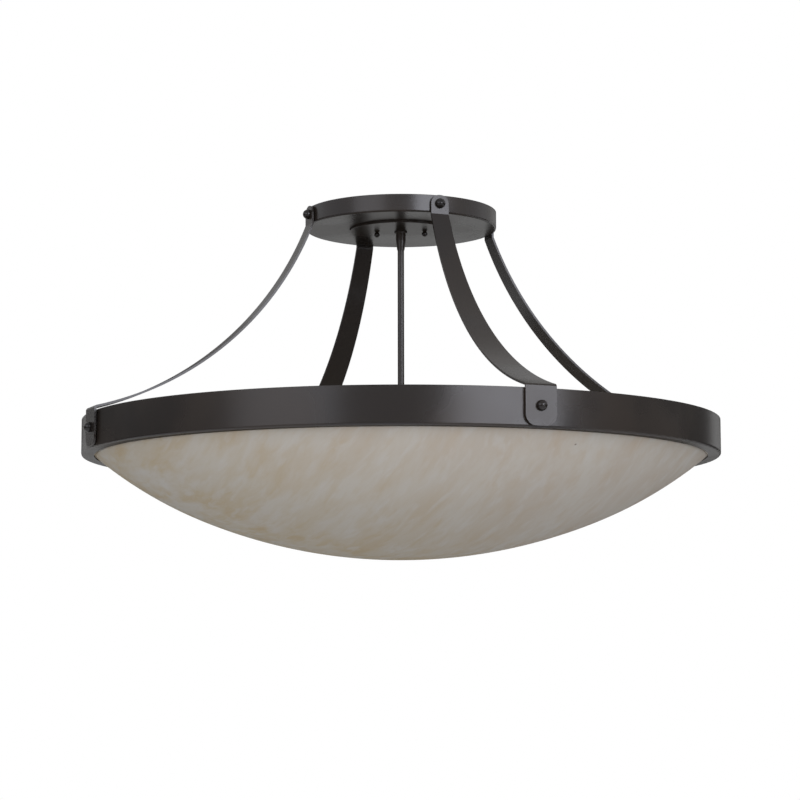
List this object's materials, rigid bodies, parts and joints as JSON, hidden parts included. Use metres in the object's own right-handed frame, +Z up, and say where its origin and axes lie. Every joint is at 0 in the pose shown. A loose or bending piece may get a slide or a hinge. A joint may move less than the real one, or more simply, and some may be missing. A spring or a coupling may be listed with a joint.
{
  "type": "semi flush ceiling light",
  "caption": "Semi-flush ceiling light: round canopy, bent tapered straps, a broad ring, a shallow marbled bowl resting on its lip, and lampholders on a centre stem.",
  "frame": {"origin": "midway between the two ceiling box screws, on the ceiling plane, above the stem", "axes": "+Z up into the ceiling; the straps stand on +X, +Y, -X and -Y; the ceiling box screws lie along X"},
  "size_m": [0.94, 0.94, 0.505],
  "materials": {
    "dark_bronze": "semi-gloss dark bronze paint",
    "zinc_steel": "zinc plated",
    "faux_alabaster": "satin, marbled with tan veins",
    "porcelain": "glazed",
    "brass": "plain",
    "bulb_base_metal": "bright",
    "bulb_insulator": "plain",
    "frosted_glass": "frosted"
  },
  "bodies": {
    "frame": {"ring": "dark_bronze", "canopy_pan": "dark_bronze", "centre_disc": "dark_bronze", "cap_nuts": "dark_bronze", "check_ring": "dark_bronze", "coupling": "dark_bronze", "stem": "dark_bronze", "cluster_cap": "dark_bronze", "cluster_nut": "dark_bronze", "cluster_body": "dark_bronze", "cluster_finial": "dark_bronze", "strap_1": "dark_bronze", "strap_2": "dark_bronze", "strap_3": "dark_bronze", "strap_4": "dark_bronze", "upper_knobs": "dark_bronze", "lower_knobs": "dark_bronze", "upper_spacers": "dark_bronze", "lower_spacers": "dark_bronze", "box_bar": "zinc_steel", "stud_bar": "zinc_steel", "mounting_studs": "zinc_steel", "stud_nuts": "zinc_steel", "nipple": "zinc_steel", "nipple_nuts": "zinc_steel", "arm_nipples": "zinc_steel", "upper_lock_washers": "zinc_steel", "upper_nuts": "zinc_steel", "lower_lock_washers": "zinc_steel", "lower_nuts": "zinc_steel", "lampholder_1": "porcelain", "screw_shell_1": "brass", "centre_contact_1": "brass", "lampholder_2": "porcelain", "screw_shell_2": "brass", "centre_contact_2": "brass", "lampholder_3": "porcelain", "screw_shell_3": "brass", "centre_contact_3": "brass", "lampholder_4": "porcelain", "screw_shell_4": "brass", "centre_contact_4": "brass"},
    "bowl": {"bowl": "faux_alabaster"},
    "bulb_1": {"bulb_base_1": "bulb_base_metal", "bulb_tip_1": "bulb_insulator", "bulb_globe_1": "frosted_glass"},
    "bulb_2": {"bulb_base_2": "bulb_base_metal", "bulb_tip_2": "bulb_insulator", "bulb_globe_2": "frosted_glass"},
    "bulb_3": {"bulb_base_3": "bulb_base_metal", "bulb_tip_3": "bulb_insulator", "bulb_globe_3": "frosted_glass"},
    "bulb_4": {"bulb_base_4": "bulb_base_metal", "bulb_tip_4": "bulb_insulator", "bulb_globe_4": "frosted_glass"}
  },
  "joints": [
    {"name": "bowl_lift", "type": "slide", "parent": "frame", "child": "bowl", "axis": [0, 0, 1], "range_m": [0, 0.048]},
    {"name": "bulb_1_unscrew", "type": "slide", "parent": "frame", "child": "bulb_1", "axis": [1, 0, 0], "range_m": [0, 0.035]},
    {"name": "bulb_2_unscrew", "type": "slide", "parent": "frame", "child": "bulb_2", "axis": [0, 1, 0], "range_m": [0, 0.035]},
    {"name": "bulb_3_unscrew", "type": "slide", "parent": "frame", "child": "bulb_3", "axis": [-1, 0, 0], "range_m": [0, 0.035]},
    {"name": "bulb_4_unscrew", "type": "slide", "parent": "frame", "child": "bulb_4", "axis": [0, -1, 0], "range_m": [0, 0.035]}
  ]
}
